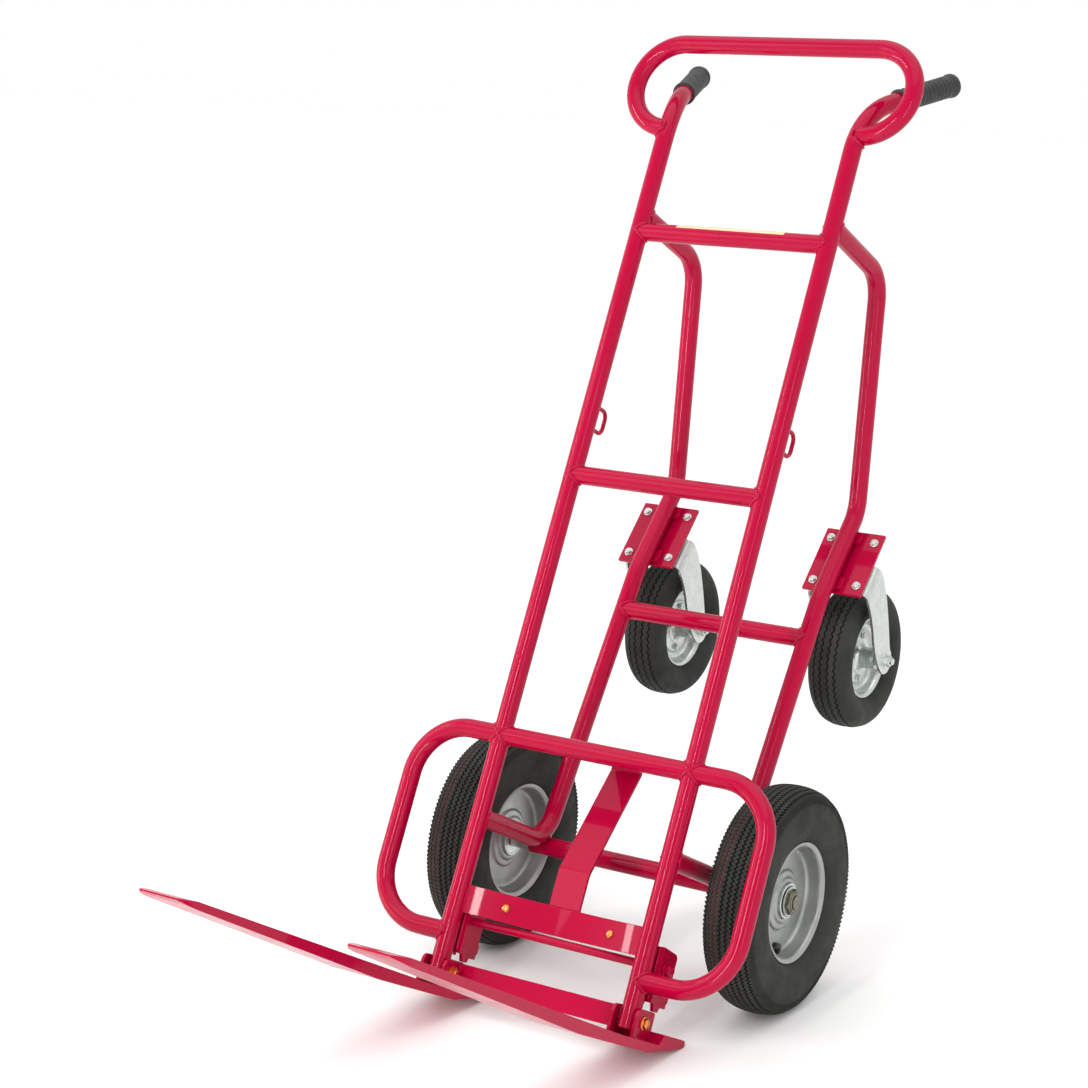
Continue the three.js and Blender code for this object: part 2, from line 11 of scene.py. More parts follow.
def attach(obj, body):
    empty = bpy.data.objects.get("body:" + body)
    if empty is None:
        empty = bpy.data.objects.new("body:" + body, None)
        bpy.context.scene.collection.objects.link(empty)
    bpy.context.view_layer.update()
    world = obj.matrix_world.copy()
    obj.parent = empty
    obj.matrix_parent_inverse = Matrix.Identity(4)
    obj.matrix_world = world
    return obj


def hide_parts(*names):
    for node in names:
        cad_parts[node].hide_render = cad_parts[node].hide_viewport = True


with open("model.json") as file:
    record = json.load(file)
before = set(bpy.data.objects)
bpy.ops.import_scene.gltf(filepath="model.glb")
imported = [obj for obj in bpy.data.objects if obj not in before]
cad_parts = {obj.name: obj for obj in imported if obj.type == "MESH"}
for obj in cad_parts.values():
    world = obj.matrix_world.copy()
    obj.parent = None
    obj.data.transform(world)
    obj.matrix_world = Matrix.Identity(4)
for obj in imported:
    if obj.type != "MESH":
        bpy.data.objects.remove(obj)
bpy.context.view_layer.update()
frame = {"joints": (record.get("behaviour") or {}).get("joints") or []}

# ------------------------------------------------------------------ frames
# Shapes are drawn in millimetres in the upright truck's frame: X right, Y back, Z along the
# uprights. The joints say how that frame lies in the row frame.
W = 195.5                       # uprights and rear tubes, either side of the middle
R = 17.0                        # frame tube
AXLE = Vector((0, 252, 202))    # main wheels' axle
PIVOT = Vector((0, 5, -70))     # hinge bolts of the forks
ROD = Vector((0, 40, 26))       # cross rod of the hinge brackets
HANDLE_BEND = 1589              # where the uprights turn out to the grips
TOP_BAR, MIDDLE_BAR = 1331.6, 852.7
REAR_BAR = Vector((0, 303.5, 680))
WHEEL_MID = 289                 # main wheels, either side of the middle
SHAFT_END = 326
NUT_SEAT = 311.6                # inner faces of the axle nuts
JOINTS = {j["name"]: j for j in frame["joints"]}


def joint_at(name):
    return Vector(JOINTS[name]["pos_m"])


def lean_matrix():
    """From the upright truck's frame, in mm, to the row frame, in m."""
    a, p = joint_at("left_wheel_spin"), joint_at("fork_fold")
    drawn, real = AXLE - PIVOT, a - p
    lean = math.atan2(drawn.z, drawn.y) - math.atan2(real.z, real.y)
    turn = Matrix.Rotation(-lean, 4, "X") @ Matrix.Scale(0.001, 4)
    at = turn @ PIVOT
    return Matrix.Translation(Vector((0, p.y - at.y, p.z - at.z))) @ turn


TRUCK = lean_matrix()


# ------------------------------------------------------------------ materials
def material(name, base, metallic=0.0, roughness=0.4, **sockets):
    mat = bpy.data.materials.new(name)
    mat.use_nodes = True
    shader = mat.node_tree.nodes["Principled BSDF"]
    shader.inputs["Base Color"].default_value = (*base, 1)
    shader.inputs["Metallic"].default_value = metallic
    shader.inputs["Roughness"].default_value = roughness
    for key, value in sockets.items():
        shader.inputs[key.replace("_", " ")].default_value = value
    return mat


class Paint:
    """Adds procedural colour, roughness and bump to a material."""

    def __init__(self, mat):
        self.tree = mat.node_tree
        self.shader = self.tree.nodes["Principled BSDF"]
        self.where = self.node("ShaderNodeTexCoord").outputs["Object"]
        self.height = None

    def node(self, kind, **values):
        n = self.tree.nodes.new(kind)
        for key, value in values.items():
            if key in n.inputs:
                n.inputs[key].default_value = value
            else:
                setattr(n, key, value)
        return n

    def link(self, a, b):
        self.tree.links.new(a, b)

    def noise(self, scale, detail=3.0, roughness=0.55, stretch=None):
        n = self.node("ShaderNodeTexNoise", Scale=scale, Detail=detail, Roughness=roughness)
        where = self.where
        if stretch:
            m = self.node("ShaderNodeMapping", Scale=stretch)
            self.link(where, m.inputs["Vector"])
            where = m.outputs[0]
        self.link(where, n.inputs["Vector"])
        return n.outputs["Fac"]

    def ramp(self, value, low, high, low_at=0.35, high_at=0.65):
        n = self.node("ShaderNodeValToRGB")
        for stop, at, colour in zip(n.color_ramp.elements, (low_at, high_at), (low, high)):
            stop.position = at
            stop.color = (*colour, 1) if hasattr(colour, "__len__") else (colour,) * 3 + (1,)
        self.link(value, n.inputs["Fac"])
        return n.outputs["Color"]

    def range(self, value, low, high, low_at=0.3, high_at=0.7):
        n = self.node("ShaderNodeMapRange")
        for key, v in (("From Min", low_at), ("From Max", high_at), ("To Min", low), ("To Max", high)):
            n.inputs[key].default_value = v
        self.link(value, n.inputs["Value"])
        return n.outputs["Result"]

    def mix(self, share, a, b):
        n = self.node("ShaderNodeMix", data_type="RGBA")
        self.link(share, n.inputs["Factor"])
        for socket, value in ((n.inputs[6], a), (n.inputs[7], b)):
            if hasattr(value, "is_linked"):
                self.link(value, socket)
            else:
                socket.default_value = (*value, 1)
        return n.outputs[2]

    def colour(self, value):
        self.link(value, self.shader.inputs["Base Color"])

    def rough(self, value):
        self.link(value, self.shader.inputs["Roughness"])

    def bump(self, value, distance, strength=1.0):
        n = self.node("ShaderNodeBump", Distance=distance, Strength=strength)
        self.link(value, n.inputs["Height"])
        if self.height is not None:
            self.link(self.height, n.inputs["Normal"])
        self.height = n.outputs["Normal"]
        self.link(self.height, self.shader.inputs["Normal"])


def red_paint():
    mat = material("red_powder_coat", (0.38, 0.0, 0.032), Specular_IOR_Level=0.04,
                   Coat_Weight=0.34, Coat_Roughness=0.04)
    p = Paint(mat)
    tone = p.ramp(p.noise(2.4, 2), (0.36, 0.0, 0.030), (0.40, 0.0, 0.035))
    scuffs = p.ramp(p.noise(38, 6, 0.7, (1, 1, 0.35)), 0.0, 0.22, 0.66, 0.74)
    p.colour(p.mix(scuffs, tone, (0.27, 0.0, 0.019)))
    p.rough(p.range(p.noise(26, 5), 0.24, 0.40))
    p.bump(p.noise(620, 2), 0.00016, 0.35)
    p.bump(p.noise(95, 3), 0.0004, 0.12)
    return mat


def zinc_plate(name="bright_zinc", base=(0.66, 0.69, 0.67), low=(0.54, 0.57, 0.55), rough=(0.24, 0.42)):
    mat = material(name, base, 1.0)
    p = Paint(mat)
    spangle = p.node("ShaderNodeTexVoronoi", Scale=160.0)
    p.link(p.where, spangle.inputs["Vector"])
    grain = p.noise(55, 5, 0.6)
    p.colour(p.mix(p.range(grain, 0.0, 1.0), low, base))
    p.rough(p.range(spangle.outputs["Distance"], *rough, 0.1, 0.8))
    p.bump(p.noise(420, 3), 0.0001, 0.3)
    return mat


def rim_paint():
    mat = material("satin_silver_paint", (0.36, 0.37, 0.36), 0.8)
    p = Paint(mat)
    p.colour(p.mix(p.range(p.noise(14, 5), 0.0, 1.0), (0.30, 0.31, 0.30), (0.42, 0.43, 0.42)))
    p.rough(p.range(p.noise(70, 5), 0.27, 0.46))
    p.bump(p.noise(900, 2), 0.00008, 0.4)
    return mat


def tyre_rubber():
    mat = material("tyre_rubber", (0.03, 0.031, 0.027), 0.0, 0.75, Specular_IOR_Level=0.25)
    p = Paint(mat)
    bloom = p.ramp(p.noise(7, 7, 0.65), 0.0, 1.0, 0.38, 0.7)
    dark = p.mix(bloom, (0.019, 0.021, 0.018), (0.038, 0.040, 0.034))
    dust = p.ramp(p.noise(16, 8, 0.75), 0.0, 0.5, 0.66, 0.78)
    p.colour(p.mix(dust, dark, (0.085, 0.075, 0.05)))
    p.rough(p.range(p.noise(40, 5), 0.62, 0.86))
    p.bump(p.noise(300, 5, 0.6), 0.0003, 0.35)
    return mat


def plain_rubber(name, base, low, rough):
    mat = material(name, base, 0.0, rough)
    p = Paint(mat)
    p.colour(p.mix(p.range(p.noise(60, 5), 0.0, 1.0), low, base))
    p.rough(p.range(p.noise(90, 4), rough - 0.1, rough + 0.12))
    p.bump(p.noise(500, 3), 0.0002, 0.3)
    return mat


def label_film():
    mat = material("label_film", (0.74, 0.56, 0.33), 0.0, 0.42)
    p = Paint(mat)
    worn = p.ramp(p.noise(90, 6, 0.7), 0.0, 0.7, 0.5, 0.75)
    p.colour(p.mix(worn, (0.78, 0.62, 0.40), (0.62, 0.36, 0.17)))
    p.rough(p.range(p.noise(140, 3), 0.35, 0.55))
    return mat


RED = red_paint()
ZINC = zinc_plate()
GOLD = zinc_plate("yellow_zinc", (0.86, 0.38, 0.12), (0.72, 0.20, 0.06), (0.22, 0.38))
DARK_ZINC = zinc_plate("aged_zinc", (0.24, 0.23, 0.18), (0.14, 0.135, 0.10), (0.30, 0.5))
SILVER = rim_paint()
TYRE = tyre_rubber()
# painted shade: the tyre's rubber made darker for the groove floors and walls, standing in for the shade
# inside the grooves
GROOVE_SHADE = plain_rubber("groove_painted_shade", (0.012, 0.012, 0.011), (0.007, 0.007, 0.007), 0.85)
TREAD_LINE = plain_rubber("red_tread_line", (0.22, 0.045, 0.04), (0.14, 0.03, 0.027), 0.75)
GRIP = plain_rubber("grip_rubber", (0.022, 0.024, 0.024), (0.014, 0.015, 0.015), 0.5)
STEM = plain_rubber("valve_rubber", (0.03, 0.027, 0.022), (0.02, 0.018, 0.015), 0.6)
LABEL = label_film()


# ------------------------------------------------------------------ mesh building
class Shape:
    """Vertices and faces gathered from several closed shells, with a material for each face."""

    def __init__(self, at=None):
        self.verts, self.faces, self.mats, self.used = [], [], [], []
        self.at = at or Matrix.Identity(4)

    def add(self, verts, faces, mat=None, at=None):
        start, place = len(self.verts), self.at @ (at or Matrix.Identity(4))
        self.verts += [tuple(place @ Vector(v)) for v in verts]
        self.faces += [[start + i for i in f] for f in faces]
        index = 0
        if mat is not None:
            if mat not in self.used:
                self.used.append(mat)
            index = self.used.index(mat) + 1
        self.mats += [index] * len(faces)
        return self

    def build(self, name, mat, body, replaces=(), slot="red_paint", sharp=35, bevel=0.0, segments=2):
        mesh = bpy.data.meshes.new(name)
        mesh.from_pydata(self.verts, [], self.faces)
        mesh.transform(TRUCK)
        bm = bmesh.new()
        bm.from_mesh(mesh)
        bmesh.ops.recalc_face_normals(bm, faces=bm.faces)
        bm.to_mesh(mesh)
        bm.free()
        for m in [mat, *self.used]:
            mesh.materials.append(m)
        mesh.polygons.foreach_set("material_index", self.mats)
        mesh.shade_smooth()
        mesh.set_sharp_from_angle(angle=math.radians(sharp))
        obj = bpy.data.objects.new(name, mesh)
        bpy.context.scene.collection.objects.link(obj)
        if bevel:
            mod = obj.modifiers.new("rounded_edges", "BEVEL")
            mod.width, mod.segments = bevel / 1000, segments
            mod.limit_method, mod.angle_limit = "ANGLE", math.radians(40)
            mod.harden_normals = True
        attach(obj, body)
        if replaces:
            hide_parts(*replaces)
        return obj


def bent_run(corners, radii, arc_step=5.0):
    """Points and tangents of a run through corners, rounded by arcs; arc_step is in degrees."""
    corners = [Vector(c) for c in corners]
    heads = [(b - a).normalized() for a, b in zip(corners, corners[1:])]
    out = [(corners[0], heads[0])]
    for i, radius in enumerate(radii, 1):
        before, after = heads[i - 1], heads[i]
        angle = before.angle(after)
        side = (after - before * after.dot(before)).normalized()
        start = corners[i] - before * radius * math.tan(angle / 2)
        steps = max(3, round(math.degrees(angle) / arc_step))
        for k in range(steps + 1):
            t = angle * k / steps
            out.append((start + before * radius * math.sin(t) + side * radius * (1 - math.cos(t)),
                        before * math.cos(t) + side * math.sin(t)))
    out.append((corners[-1], heads[-1]))
    return out


def circle(radius, sides):
    return [(radius * math.cos(2 * math.pi * k / sides), radius * math.sin(2 * math.pi * k / sides))
            for k in range(sides)]


def sections(run, section):
    """Rings of a section swept along a run, turned as little as possible."""
    last = run[0][1]
    normal = last.orthogonal().normalized()
    rings = []
    for point, tangent in run:
        normal = last.rotation_difference(tangent) @ normal
        normal = (normal - tangent * normal.dot(tangent)).normalized()
        other = tangent.cross(normal)
        rings.append([point + normal * a + other * b for a, b in section])
        last = tangent
    return rings


def skin(rings, loop=False):
    """Faces between rings, closed by a cap at each end or joined into a loop."""
    n = len(rings[0])
    verts = [v for ring in rings for v in ring]
    faces = []
    for i in range(len(rings) if loop else len(rings) - 1):
        a, b = i * n, (i + 1) % len(rings) * n
        faces += [[a + k, a + (k + 1) % n, b + (k + 1) % n, b + k] for k in range(n)]
    if not loop:
        faces += [list(range(n)), [(len(rings) - 1) * n + k for k in range(n)]]
    return verts, faces


def tube(shape, run, radius=R, sides=36):
    return shape.add(*skin(sections(run, circle(radius, sides))))


def open_tube(shape, run):
    """A tube with an open mouth at its start: its wall turns in and runs back inside it."""
    bore, depth, edge, sides = 14.2, 40, 0.8, 36
    outer = sections(run, circle(R, sides))
    point, tangent = run[0]
    rim = sections([(point, tangent), (point + tangent * depth, tangent)], circle(bore, sides))
    soft = sections([(point, tangent)], circle(R - edge, sides))[0]
    first = [v + tangent * edge for v in outer[0]]
    return shape.add(*skin([rim[1], rim[0], soft, first, *outer[1:]]))


def lathe(shape, profile, sides=64, at=None, mat=None, closed=False):
    """Turns (x, radius) points about the X axis. An open profile starts and ends on the axis."""
    turns = circle(1, sides)
    rings = [[Vector((x, r * c, r * s)) for c, s in turns] for x, r in profile]
    return shape.add(*skin(rings, loop=closed), mat, at)


def rounded(profile, radius=1.0, steps=3, closed=False):
    """The same outline with its corners rounded off."""
    pts = [Vector(p) for p in profile]
    out, n = [], len(pts)
    for i, p in enumerate(pts):
        if not closed and i in (0, n - 1):
            out.append(tuple(p))
            continue
        a, b = pts[i - 1], pts[(i + 1) % n]
        r = min(radius, (a - p).length * 0.45, (b - p).length * 0.45)
        start, end = p + (a - p).normalized() * r, p + (b - p).normalized() * r
        for k in range(steps + 1):
            t = k / steps
            out.append(tuple(start * (1 - t) ** 2 + p * 2 * t * (1 - t) + end * t * t))
    return out


def prism(shape, outline, x0, x1, at=None, holes=()):
    """An outline in the YZ plane, as (y, z), drawn out from x0 to x1, with round holes."""
    bm = bmesh.new()
    edges = []
    for loop in [outline, *holes]:
        vs = [bm.verts.new((x0, y, z)) for y, z in loop]
        edges += [bm.edges.new((vs[i], vs[(i + 1) % len(vs)])) for i in range(len(vs))]
    bmesh.ops.triangle_fill(bm, edges=edges, use_beauty=True)
    if not holes:
        bmesh.ops.dissolve_faces(bm, faces=bm.faces[:])
    moved = bmesh.ops.extrude_face_region(bm, geom=bm.faces[:] + bm.edges[:] + bm.verts[:])
    bmesh.ops.translate(bm, vec=(x1 - x0, 0, 0),
                        verts=[g for g in moved["geom"] if isinstance(g, bmesh.types.BMVert)])
    bm.verts.index_update()
    verts = [v.co.copy() for v in bm.verts]
    faces = [[v.index for v in f.verts] for f in bm.faces]
    bm.free()
    return shape.add(verts, faces, at=at)


def box(shape, x0, x1, y0, y1, z0, z1, at=None):
    return prism(shape, [(y0, z0), (y1, z0), (y1, z1), (y0, z1)], x0, x1, at)


def ring_of(y, z, radius):
    return [(y + a, z + b) for a, b in circle(radius, 32)]


def hexagon(shape, x0, height, radius, at=None, bore=0.01):
    """A hexagonal head or nut standing on x0 along +X, its outer corners turned off."""
    sides = 48
    flat = radius * math.cos(math.pi / 6)
    rows = []
    for kind in range(4):
        row = []
        for k in range(sides):
            a = 2 * math.pi * k / sides
            corner = flat / math.cos((a + math.pi / 6) % (math.pi / 3) - math.pi / 6)
            drop = (corner - flat * 0.96) * math.tan(math.radians(30))
            r, x = ((corner, x0), (corner, x0 + height - drop), (flat * 0.96, x0 + height),
                    (bore, x0 + height))[kind]
            row.append(Vector((x, r * math.cos(a), r * math.sin(a))))
        rows.append(row)
    return shape.add(*skin(rows), at=at)


def bolt_head(shape, at, radius, height):
    """A hexagonal head on a washer, with the raised round of its top."""
    washer = [(0, 0.01), (0, radius * 1.28), (1.2, radius * 1.3), (1.8, radius * 1.2), (1.8, 0.01)]
    lathe(shape, washer, 32, at)
    hexagon(shape, 1.7, height, radius, at)
    lathe(shape, [(0, 0.01), (0, radius * 0.55), (height + 1.9, radius * 0.55),
                  (height + 2.3, radius * 0.48), (height + 2.3, 0.01)], 24, at)


def nut_end(shape, at, radius, height, shank=5.0, tail=4.0):
    """A washer and a nut, with the end of the bolt standing out of it by its tail."""
    lathe(shape, [(0, 0.01), (0, radius * 1.25), (1.6, radius * 1.25), (1.6, 0.01)], 32, at)
    hexagon(shape, 1.5, height, radius, at)
    x = height + 1.5 + tail
    lathe(shape, [(0, 0.01), (0, shank), (x - 1, shank), (x, shank - 1), (x, 0.01)], 24, at)


def sleeve(shape, x0, x1, bore, radius):
    """A spacer round an axle."""
    ring = [(x0, bore), (x0, radius), (x1, radius), (x1, bore)]
    return lathe(shape, rounded(ring, 0.8, closed=True), 40, closed=True)


def facing(direction, at):
    """The placing that turns +X to a direction."""
    turn = Vector((1, 0, 0)).rotation_difference(Vector(direction)).to_matrix().to_4x4()
    return Matrix.Translation(Vector(at)) @ turn


def bead(shape, points, radius=3.4, closed=True):
    """A weld bead along points, with the ripple of its laid drops."""
    pitch = 5.0
    pts = [Vector(p) for p in points]
    dense, n = [], len(pts)
    for i in range(n if closed else n - 1):
        a, b = pts[i], pts[(i + 1) % n]
        steps = max(1, round((b - a).length / 1.6))
        dense += [a.lerp(b, k / steps) for k in range(steps)]
    if not closed:
        dense.append(pts[-1])
    m, along, run = len(dense), 0.0, []
    for i, p in enumerate(dense):
        q = dense[(i + 1) % m] if closed else dense[min(i + 1, m - 1)]
        o = dense[i - 1] if closed else dense[max(i - 1, 0)]
        run.append((p, (q - o).normalized()))
    rings = sections(run, circle(1.0, 10))
    out = []
    for i, (ring, (p, t)) in enumerate(zip(rings, run)):
        if i:
            along += (p - run[i - 1][0]).length
        ripple = 0.07 * abs(math.sin(math.pi * along / pitch)) + 0.04 * math.sin(along * 0.21)
        size = radius * (0.95 + ripple)
        if not closed:
            size *= min(1.0, 0.35 + 0.3 * min(i, m - 1 - i))
        out.append([p + (v - p) * size for v in ring])
    return shape.add(*skin(out, loop=closed))


def straight_bead(shape, a, b, radius):
    return bead(shape, [a, b], radius, closed=False)


def cope(start, direction, target, axis, radius=R, other=R, sides=56):
    """Where a tube leaving start along direction first meets the tube through target along axis."""
    start, q = Vector(start), Vector(target)
    d, w = Vector(direction).normalized(), Vector(axis).normalized()
    u = d.orthogonal().normalized()
    v = d.cross(u)
    curve = []
    for k in range(sides):
        a = 2 * math.pi * k / sides
        p = start + (u * math.cos(a) + v * math.sin(a)) * radius
        m, e = p - q, d - w * d.dot(w)
        m = m - w * m.dot(w)
        b, c = m.dot(e), m.dot(m) - other * other
        root = math.sqrt(max(0.0, b * b - e.dot(e) * c))
        curve.append(p + d * ((-b - root) / e.dot(e)))
    return curve


SIDES = (("left", -1), ("right", 1))

# ------------------------------------------------------------------ frame tubes
HANDLE_DIR = Vector((0.3, 0.747, 0.593)).normalized()
REAR_PATH = [(0, 1366), (226, 1366), (379, 950), (314.3, 762), (238, 207), (0, 207)]
REAR_BENDS = [70, 75, 75, 65]
LOOP_Z, LOOP_R, LOOP_HALF = 1628, 86, 200
REACH, GUARD_TOP, GUARD_BOTTOM = 361, 358.5, -3
welds = Shape()


def handle_dir(sign):
    return Vector((sign * HANDLE_DIR.x, HANDLE_DIR.y, HANDLE_DIR.z))


for side, sign in SIDES:
    vertex = Vector((sign * W, 0, HANDLE_BEND))
    run = bent_run([(sign * W, 0, -86), vertex, vertex + handle_dir(sign) * 238], [150], 4)
    open_tube(Shape(), run).build(f"{side}_upright_tube", RED, "frame", [f"{side}_upright"])

# the handle: up round its left end, over, and down round its right end
arc = [math.radians(-90 + 5 * k) for k in range(37)]
loop = [(Vector((sign * (LOOP_HALF + LOOP_R * math.cos(a)), 0, LOOP_Z + LOOP_R * math.sin(a))),
         Vector((math.sin(a), 0, -sign * math.cos(a))))
        for sign, angles in ((-1, arc), (1, arc[::-1])) for a in angles]
tube(Shape(), loop).build("handle_loop_tube", RED, "frame", ["handle_loop"])

for name, z in (("upper", TOP_BAR), ("middle", MIDDLE_BAR), ("lower", GUARD_TOP)):
    tube(Shape(), bent_run([(-W, 0, z), (W, 0, z)], [])).build(
        f"{name}_crossbar_tube", RED, "frame", [f"{name}_crossbar"])
    for sign in (-1, 1):
        bead(welds, cope((sign * 100, 0, z), (sign, 0, 0), (sign * W, 0, z), (0, 0, 1)))

for side, sign in SIDES:
    corners = [(sign * x, 0, z) for x, z in ((W, GUARD_TOP), (REACH, GUARD_TOP), (REACH, GUARD_BOTTOM),
                                             (W, GUARD_BOTTOM))]
    tube(Shape(), bent_run(corners, [100, 100])).build(
        f"{side}_guard_tube", RED, "frame", [f"{side}_guard_loop"])
    for z in (GUARD_TOP, GUARD_BOTTOM):
        bead(welds, cope((sign * 260, 0, z), (-sign, 0, 0), (sign * W, 0, z), (0, 0, 1)))
    # the handle's lower run, where it meets the upright's bend
    bead(welds, cope((sign * 235, 0, 1542.6), (-sign, 0, -0.12),
                     (sign * W, 2.8, 1541.6), (0, 0.19, 0.98)))

    corners = [(sign * W, y, z) for y, z in REAR_PATH]
    tube(Shape(), bent_run(corners, REAR_BENDS)).build(
        f"{side}_rear_frame_tube", RED, "frame", [f"{side}_rear_tube"])
    for z in (1366, 207):
        bead(welds, cope((sign * W, 80, z), (0, -1, 0), (sign * W, 0, z), (0, 0, 1)))
    bead(welds, cope(REAR_BAR + Vector((sign * 100, 0, 0)), (sign, 0, 0),
                     REAR_BAR + Vector((sign * W, 0, 0)), (0, 76.3, 555)))
tube(Shape(), bent_run([(-W, *REAR_BAR.yz), (W, *REAR_BAR.yz)], [])).build(
    "rear_crossbar_tube", RED, "frame", ["rear_crossbar"])

# label: a thin blank film wrapped on the upper crossbar
FILM = [(-111, 17.05), (-111, 17.5), (-110, 17.75), (110, 17.75), (111, 17.5), (111, 17.05)]
label = Shape()
rows = [[Vector((x, -r * math.cos(a), TOP_BAR + r * math.sin(a))) for x, r in FILM]
        for a in (0.45 + 0.8 * k / 12 for k in range(13))]
label.add(*skin(rows))
label.build("blank_label_film", LABEL, "frame", ["blank_label"], "label_film", 50)

# ------------------------------------------------------------------ axle
axle_tube = Shape()
tube(axle_tube, bent_run([(-226, AXLE.y, AXLE.z), (226, AXLE.y, AXLE.z)], []))
axle_tube.build("axle_sleeve", RED, "frame", ["axle_tube"], bevel=0.8)
shaft = Shape(Matrix.Translation(AXLE))
lathe(shaft, [(-SHAFT_END, 0.01), (-SHAFT_END, 8.5), (1.5 - SHAFT_END, 10),
              (SHAFT_END - 1.5, 10), (SHAFT_END, 8.5), (SHAFT_END, 0.01)], 40)
for x0, x1 in ((-266, -227), (227, 266)):
    sleeve(shaft, x0, x1, 9.8, 14.5)
shaft.build("axle_shaft", ZINC, "frame", ["axle"], "zinc")
for side, sign in SIDES:
    nut = Shape(Matrix.Translation(AXLE) @ facing((sign, 0, 0), (sign * NUT_SEAT, 0, 0)))
    washer = rounded([(0, 10.3), (0, 26), (2.6, 26), (2.6, 10.3)], 0.7, closed=True)
    lathe(nut, washer, 64, mat=ZINC, closed=True)
    hexagon(nut, 2.4, 7.6, 23.6, bore=10.2)
    lathe(nut, rounded([(9, 10.3), (9, 18.4), (12.4, 17.2), (12.4, 13.4), (11, 12.6), (11, 10.3)], 0.8,
                       closed=True), 64, closed=True)
    lathe(nut, [(10.2, 0.01), (10.2, 12.9), (14.4, 12.4), (15.2, 9.5), (15.2, 0.01)], 48)
    nut.build(f"{side}_axle_lock_nut", DARK_ZINC, "frame", [f"{side}_axle_nut"], "zinc")


# ------------------------------------------------------------------ wheels
def smooth_profile(points, steps=6):
    """A curve through points (Catmull-Rom)."""
    p = [Vector(q) for q in points]
    p = [p[0] * 2 - p[1], *p, p[-1] * 2 - p[-2]]
    out = []
    for i in range(1, len(p) - 2):
        for k in range(steps):
            t = k / steps
            out.append(0.5 * (2 * p[i] + (p[i + 1] - p[i - 1]) * t
                              + (2 * p[i - 1] - 5 * p[i] + 4 * p[i + 1] - p[i + 2]) * t * t
                              + (3 * p[i] - 3 * p[i + 1] + p[i + 2] - p[i - 1]) * t ** 3))
    out.append(p[-2])
    return out


BITES = {"tooth": 1.0, "fine": 0.16}       # share of the shoulder's bite, by kind of row


def tyre_mesh(half, bead_line, grooves, width, depth, teeth, swing, shoulder, wave, bite,
              line_grooves=()):
    """A closed tyre about X. half: (x, r) from bead to crown. Grooves lie at distances from the
    crown and swing from side to side round the tyre; wave holds the swing at each step of a tooth.
    Gives its rings, and the places in a ring of all groove floors and of the coloured ones."""
    curve = smooth_profile(half, 10)
    curve = curve + [Vector((-p.x, p.y)) for p in reversed(curve[:-1])]
    length = [0.0]
    for a, b in zip(curve, curve[1:]):
        length.append(length[-1] + (b - a).length)
    middle = length[len(curve) // 2]
    s = np.array(length) - middle
    xs, rs = np.array([p.x for p in curve]), np.array([p.y for p in curve])
    edge = grooves[-1] + width
    marks = []          # (distance, depth, share of the swing, groove or kind of row)
    for g in grooves:
        floor_at = 2.0 if g in line_grooves else depth
        marks += [(g - width / 2, 0, 1, None), (g - width / 2 + 0.5, floor_at, 1, g),
                  (g + width / 2 - 0.5, floor_at, 1, None), (g + width / 2, 0, 1, None)]
    for a, b in zip(grooves, grooves[1:]):
        marks.append(((a + b) / 2, -0.25, 1, None))
    marks += [(sign * (edge + 1.2), 0, 0.8, None) for sign in (-1, 1)]
    shoulder_rows = [(k, "tooth") for k in (0.35, 0.8, 1.3, 1.7)] + [(k, "fine") for k in (2.0, 3.1)]
    marks += [(sign * (edge + shoulder * k), 0, 0, kind) for sign in (-1, 1)
              for k, kind in shoulder_rows]
    plain = [d for d in np.linspace(s[0], s[-1], 76) if abs(d) > edge + shoulder * 3.3]
    marks += [(d, 0, 0, None) for d in plain]
    marks.sort(key=lambda m: m[0])
    steps = len(wave)
    columns = teeth * steps
    rings = []
    slope_x, slope_r = np.gradient(xs, s), np.gradient(rs, s)
    for c in range(columns):
        swing_now = wave[c % steps] * swing
        low = c % steps >= steps // 2
        a = 2 * math.pi * c / columns
        row = []
        for d, deep, share, kind in marks:
            at = min(max(d + swing_now * share, s[0]), s[-1])
            x, r = np.interp(at, s, xs), np.interp(at, s, rs)
            nx, nr = np.interp(at, s, slope_r), -np.interp(at, s, slope_x)
            k = 1 / math.hypot(nx, nr)
            if nr < 0:
                k = -k
            if kind in BITES:
                deep = BITES[kind] * bite * (1.0 if low else -0.6)
            row.append((x - nx * k * deep, r - nr * k * deep))
        row += bead_line
        rings.append([Vector((x, r * math.cos(a), r * math.sin(a))) for x, r in row])
    floors = [i for i, m in enumerate(marks) if m[3] in grooves]
    return rings, floors, [i for i in floors if marks[i][3] in line_grooves]


def build_tyre(name, body, node, place, data):
    rings, floors, lined = tyre_mesh(**data)
    n = len(rings[0])
    shape = Shape(place)
    shape.add(*skin(rings, loop=True))
    # groove floors and their walls get the darker rubber, painted shade in the grooves; the lined
    # grooves' floors get the red line
    shape.used += [GROOVE_SHADE, TREAD_LINE]
    for i in range(len(rings)):
        for k in floors:
            for wall in (k - 1, k, k + 1):
                shape.mats[i * n + wall] = 1
        for k in lined:
            shape.mats[i * n + k] = 2
    shape.build(name, TYRE, body, [node], "tyre_rubber", 32)


